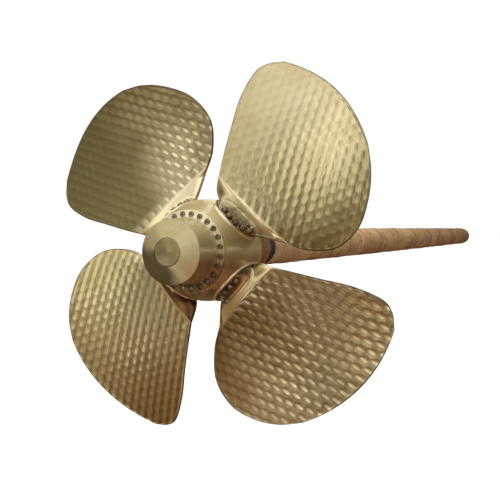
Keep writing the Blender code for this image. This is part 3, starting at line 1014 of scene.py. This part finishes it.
def hessianFinish():
    material, place = newFinish("hessian_tape", {"Metallic": 0.0, "Specular IOR Level": 0.15})
    x, y, z = place.parts()
    angle = y.math("ARCTAN2", y, x)
    turn = (z - wrapTape["stations"][0][0]) / wrapTape["pitch"] - angle / math.tau
    weft = (z * 620.0).math("SINE", z * 620.0)
    around = angle * 90.0
    warp = around.math("SINE", around)
    weave = weft * warp * 0.5 + 0.5
    yarn = vectorOf(angle * 5.0, z * 210.0, 0.0).noise(1.0, 4.0, 0.6)
    patch = vectorOf(angle * 0.6, z * 2.4, 0.0).noise(1.0, 4.0, 0.55).ramp(0.36, 0.64)
    damp = vectorOf(angle * 0.9, z * 5.5, 7.0).noise(1.0, 3.0, 0.5).ramp(0.52, 0.70)
    edge = turn.math("FRACT", turn).ramp(0.90, 1.0)
    streak = vectorOf(angle * 3.0, z * 9.0, 3.0).noise(1.0, 5.0, 0.65).ramp(0.40, 0.66)
    band = vectorOf(angle * 0.25, z * 3.4, 11.0).noise(1.0, 3.0, 0.6).ramp(0.44, 0.60)
    last = wrapTape["stations"][-1][0]
    stain = z.ramp(last - 1.5, last) * (0.35 + 0.65 * damp) + 0.45 * z.ramp(last - 0.30, last - 0.05)
    colour = patch.mix(tone(0.47, 0.30, 0.15), tone(0.32, 0.17, 0.08))
    colour = (streak * 0.55).mix(colour, tone(0.55, 0.41, 0.25))
    colour = (band * 0.45).mix(colour, tone(0.27, 0.17, 0.085))
    colour = (damp * 0.75).mix(colour, tone(0.20, 0.085, 0.04))
    colour = (stain * 0.80).mix(colour, tone(0.12, 0.075, 0.035))
    colour = (yarn * 0.30 + weave * 0.15).mix(colour, tone(0.50, 0.36, 0.20))
    colour = (edge * 0.35).mix(colour, tone(0.14, 0.075, 0.04))
    return feed(material, colour, 0.82 + 0.12 * yarn, weave * 0.7 + yarn, 0.0012, 0.7)


# Build


def placedCopy(mesh, number):        # the mesh set in blade number's place, in the shared frame
    copy = mesh.copy()
    copy.transform(bladeFrame(number))
    return copy


def addBlades():
    wing = cutMesh(bladeMesh(), [(spotfaces(), Matrix.Identity(4))])
    base = footMesh()
    boltSteel = steelFinish("bolt_steel", tone(0.50, 0.42, 0.34), tone(0.30, 0.22, 0.17), 0.32)
    footBronze = footFinish()
    for number in bladeAngles:
        body = "blade_body_%d" % number
        bronze = bladeBronze(number)
        piece = dressPiece("blade_wing_%d" % number, placedCopy(wing, number), Matrix.Identity(4), body,
                           bronze, 40.0)
        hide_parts("blade_%d" % number)
        dressPiece("blade_foot_%d" % number, placedCopy(base, number), Matrix.Identity(4), body,
                   footBronze, 32.0)
        footBolts(number, boltSteel)
    print("blades: %d faces each" % len(wing.polygons))


def addTurned(name, profile, segments, material, node=None, matrix=None, sharpAngle=32.0):
    verts, faces = lathe(profile, segments)
    matrix = matrix or alongShaft
    piece = newPiece(name, verts, faces, matrix, "hub_and_shaft", material, sharpAngle)
    if node:
        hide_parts(node)
    return piece


def addHub():
    hubBronze = turnedBronze("hub", {"Anisotropic": 0.80, "Anisotropic Rotation": 0.25}, 0.26, 0.15)
    capBronze = turnedBronze("cap", {"Anisotropic": 0.90, "Anisotropic Rotation": 0.25}, 0.34, 0.15)
    plugBronze = turnedBronze("plug", {"Anisotropic": 0.70, "Anisotropic Rotation": 0.25}, 0.32, 1.00)
    ringBronze = turnedBronze("ring", {}, 0.22, 0.05)
    beadBronze = turnedBronze("bead", {}, 0.14, 0.0)
    screwSteel = steelFinish("screw_steel", tone(0.42, 0.36, 0.25), tone(0.22, 0.17, 0.11), 0.34)
    body = dressPiece("hub_casting", hubMesh(), alongShaft, "hub_and_shaft", hubBronze)
    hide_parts("hub_body")
    mesh, spots, floor = capMesh()
    capPiece = dressPiece("cap_casting", mesh, alongShaft, "hub_and_shaft", capBronze, 28.0)
    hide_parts("hub_cap")
    capBolts(spots, floor, screwSteel)
    addTurned("plug_dish", plugProfile(), 144, plugBronze, "cap_plug")
    for number in bladeAngles:
        r = portRing
        profile = ringProfile(r["inner"], r["outer"], r["low"], r["top"], r["lip"])
        addTurned("port_lip_%d" % number, profile, hub["portSegments"], ringBronze,
                  "port_ring_%d" % number, bladeFrame(number))
        verts, faces = portBeadMesh()
        newPiece("port_bead_%d" % number, verts, faces, bladeFrame(number), "hub_and_shaft",
                 beadBronze, 60.0)
    print("hub, cap, plug and port rings")


def addShaftParts():
    p = shaftParts
    start = ringSizes["start"]
    steel = steelFinish("shaft_steel", tone(0.56, 0.56, 0.56), tone(0.38, 0.36, 0.34), 0.34)
    addTurned("front_ring", ringProfile(ringSizes["bore"], ringSizes["outer"], start,
                                        start + ringSizes["thickness"], ringSizes["bevel"]),
              240, copperFinish(), "hub_front_ring")
    addTurned("tail_shaft", shaftProfile(), 160, steel, "shaft")
    flangeEnd = start + ringSizes["thickness"] + gap + p["flangeThickness"]
    verts, faces = [], []
    for i, (x, y) in enumerate(circleSpots(p["boltCount"], p["boltCircle"])):
        seat = Matrix.Translation((x, y, flangeEnd))
        addScrew(verts, faces, seat, p["boltRadius"], p["boltHeight"], 0.5 * i)
    newPiece("flange_bolts", verts, faces, alongShaft, "hub_and_shaft", steel, 30.0)
    linerStart = flangeEnd + p["fillet"] + gap
    inner = p["linerRadius"] - p["linerThickness"] + gap
    liner = ringProfile(inner, p["linerRadius"], linerStart, p["linerEnd"], p["linerEasing"])
    addTurned("liner_sleeve", liner, 144, steel, "shaft_liner")
    band = ringProfile(inner, p["bandRadius"], p["linerEnd"] + gap, p["bandEnd"] - gap, p["bandEasing"])
    addTurned("end_band", band, 144, rubberFinish(), "liner_end_band")
    wrap = dressPiece("shaft_tape", wrapMesh(), alongShaft, "hub_and_shaft",
                      hessianFinish(), 50.0)
    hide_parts("shaft_wrap")
    print("shaft flange, liner, band and wrap: %d faces" % len(wrap.data.polygons))


# Floor, light and camera

cameraView = {"spot": (-11.091, -2.336, 0.150), "aim": (-6.450, -0.206, 0.001), "lens": 67.34, "roll": 0.1}
backdrop = {"height": -1.060, "reach": 60.0, "floorGlow": 0.80, "skyGlow": 1.0}
surround = {        # what the bronze mirrors: (height of the direction, red, green, blue), floor to roof
    "strength": 1.0,
    "aft": ((-1.00, 0.14, 0.08, 0.045), (-0.53, 0.36, 0.23, 0.12), (-0.35, 0.44, 0.32, 0.19),
            (-0.17, 0.49, 0.42, 0.29), (-0.02, 0.54, 0.49, 0.37), (0.10, 0.62, 0.58, 0.47),
            (0.22, 0.76, 0.74, 0.63), (0.41, 0.94, 0.93, 0.86), (0.60, 1.15, 1.14, 1.10),
            (1.00, 1.25, 1.25, 1.22)),
    "side": ((-1.00, 0.70, 0.38, 0.25), (-0.80, 0.55, 0.29, 0.18), (-0.55, 0.22, 0.125, 0.075),
             (-0.20, 0.19, 0.12, 0.07), (0.00, 0.22, 0.18, 0.12), (0.34, 0.24, 0.20, 0.13),
             (0.60, 0.28, 0.23, 0.15), (0.76, 0.50, 0.45, 0.35), (0.90, 0.80, 0.76, 0.68),
             (1.00, 0.90, 0.88, 0.84)),
    "sideFrom": (-0.45, -1.20),        # turn from straight aft, in radians, where starboard takes over
    "foreLift": 0.50,        # how much lower the bright roof comes down forward on the port side
    "clutterPeriod": 44.0,        # degrees of turn from one dark upright thing to the next
    "clutterAt": 50.0,
    "clutterTop": (0.00, 0.30),
    "clutterShare": (0.40, 0.16),        # how dark they are low down, and high up
    "clutterTone": tone(0.12, 0.10, 0.07),
}
shades = {        # dark places to port: turns where they start, height of the middle, half height
    "doorway": {"turn": (0.75, 1.05), "height": 0.20, "spread": (0.14, 0.28), "dark": 0.30},
}
glows = {        # bright patches: degrees to port of straight aft, up, radius, soft border, and colour
    "lamps": ((-14.0, 12.0, 38.0), -14.0, 2.5, 5.0, tone(1.0, 0.9, 0.75)),
    "gate": ((24.0,), 6.0, 5.0, 12.0, tone(1.40, 1.37, 1.22)),
    "lintel": ((41.0,), 24.0, 5.0, 6.0, tone(1.6, 1.58, 1.45)),
    "puddle": ((12.0,), -38.0, 5.0, 5.0, tone(1.3, 1.25, 1.16)),
    "alley": ((-14.0,), -1.0, 4.0, 7.0, tone(1.15, 1.10, 0.95)),
    "window": ((-22.0,), 26.0, 6.0, 8.0, tone(1.5, 1.5, 1.4)),
    "tube": ((-104.0, -108.0, -112.0, -116.0, -120.0, -124.0), 4.0, 0.6, 3.0, tone(3.0, 3.0, 2.7)),
    "skylight": ((155.0,), 34.0, 8.0, 14.0, tone(1.4, 1.4, 1.3)),
}
softboxes = {        # they light the cloth and rubber and are not mirrored in the bronze
    "overhead": {"spot": (-6.0, -0.5, 5.0), "size": (6.0, 4.0), "power": 255.0, "colour": (1.0, 0.99, 0.97)},
    "side": {"spot": (-7.5, -4.5, 1.6), "size": (4.0, 3.0), "power": 110.0, "colour": (1.0, 0.98, 0.95)},
}


def newStage(name, mesh, height):
    item = addItem(name, mesh, Matrix.Translation((hubSpot.x, 0.0, height)))
    return item


def addFloor():
    mesh = reshape(bpy.data.meshes.new("floor"), lambda shape: bmesh.ops.create_circle(
        shape, cap_ends=True, segments=96, radius=backdrop["reach"] * 0.999))
    floor = newStage("floor", mesh, backdrop["height"])
    material, place = newFinish("pale_floor", {
        "Specular IOR Level": 0.2, "Emission Color": tone(1, 1, 1),
        "Emission Strength": backdrop["floorGlow"]})
    cloud = place.noise(0.8, 3.0, 0.5)
    feed(material, (cloud * 0.3).mix(tone(0.34, 0.36, 0.40), tone(0.31, 0.33, 0.37)), 0.85 + 0.1 * cloud)
    mesh.materials.append(material)
    floor.visible_glossy = floor.visible_diffuse = False


def addBackdrop():        # a wide pale shell that only the camera sees
    mesh = reshape(bpy.data.meshes.new("backdrop"), lambda shape: bmesh.ops.create_uvsphere(
        shape, u_segments=96, v_segments=48, radius=backdrop["reach"]))
    shell = newStage("backdrop", mesh, backdrop["height"])
    material, _ = newFinish("pale_backdrop", {
        "Base Color": tone(0, 0, 0), "Specular IOR Level": 0.0, "Emission Strength": backdrop["skyGlow"],
        "Emission Color": tone(1, 1, 1)})
    mesh.materials.append(material)
    shell.visible_diffuse = shell.visible_glossy = shell.visible_transmission = False
    shell.visible_shadow = shell.visible_volume_scatter = False


def addSurround():
    world = bpy.data.worlds.new("studio")
    world.use_nodes = True
    bpy.context.scene.world = world
    background = world.node_tree.nodes["Background"]
    way = Wire(world.node_tree).node("ShaderNodeTexCoord", out="Generated")
    x, y, z = way.parts()
    turn = y.math("ARCTAN2", y, x * -1.0)        # 0 straight aft, positive to port

    def heights(name, level):
        stops = [(0.5 + 0.5 * at, tone(*colour)) for at, *colour in surround[name]]
        return level.node("ShaderNodeValToRGB", {"stops": stops}, {"Fac": level * 0.5 + 0.5})

    fore = x.ramp(-0.1, 0.9)
    starboard = 1.0 - turn.ramp(surround["sideFrom"][1], surround["sideFrom"][0])
    side = starboard.math("MAXIMUM", starboard, fore)
    lift = fore * y.ramp(-0.15, 0.25) * surround["foreLift"]
    sky = side.mix(heights("aft", z), heights("side", z + lift))
    upright = (turn - math.radians(surround["clutterAt"])) * (360.0 / surround["clutterPeriod"])
    low, high = surround["clutterShare"]
    share = low - (low - high) * z.ramp(*surround["clutterTop"])
    clutter = upright.math("COSINE", upright).ramp(-0.5, 0.8) * share
    sky = (clutter * (1.0 - side)).mix(sky, surround["clutterTone"])
    for shade in shades.values():
        offLevel = (z - shade["height"]).math("ABSOLUTE", z - shade["height"])
        cover = turn.ramp(*shade["turn"]) * (1.0 - offLevel.ramp(*shade["spread"])) * shade["dark"]
        sky = cover.mix(sky, surround["clutterTone"])
    for turns, height, radius, border, colour in glows.values():
        up, outer, inner = math.radians(height), math.radians(radius + border), math.radians(radius)
        for turnTo in (math.radians(degrees) for degrees in turns):
            aim = (-math.cos(up) * math.cos(turnTo), math.cos(up) * math.sin(turnTo), math.sin(up))
            facing = way.node("ShaderNodeVectorMath", {"operation": "DOT_PRODUCT"}, {0: way, 1: aim}, "Value")
            sky = facing.ramp(math.cos(outer), math.cos(inner)).mix(sky, colour)
    world.node_tree.links.new(sky.socket, background.inputs["Color"])
    background.inputs["Strength"].default_value = surround["strength"]


def addSoftboxes():
    for name, box in softboxes.items():
        light = bpy.data.lights.new(name, "AREA")
        light.shape = "RECTANGLE"
        light.size, light.size_y = box["size"]
        light.energy = box["power"]
        light.color = box["colour"]
        spot = Vector(box["spot"])
        turn = (hubSpot - spot).to_track_quat("-Z", "Y").to_matrix().to_4x4()
        lamp = addItem(name, light, Matrix.Translation(spot) @ turn)
        lamp.visible_camera = lamp.visible_glossy = False


def addCamera():
    data = bpy.data.cameras.new("camera")
    data.sensor_width = 36.0
    data.lens = cameraView["lens"]
    data.clip_end = 300.0
    spot, aim = Vector(cameraView["spot"]), Vector(cameraView["aim"])
    turn = (aim - spot).to_track_quat("-Z", "Y").to_matrix().to_4x4()
    roll = Matrix.Rotation(math.radians(cameraView["roll"]), 4, "Z")
    bpy.context.scene.camera = addItem("camera", data, Matrix.Translation(spot) @ turn @ roll)


addBlades()
addHub()
addShaftParts()
addFloor()
addBackdrop()
addSurround()
addSoftboxes()
addCamera()
bpy.context.scene.view_settings.view_transform = "Standard"
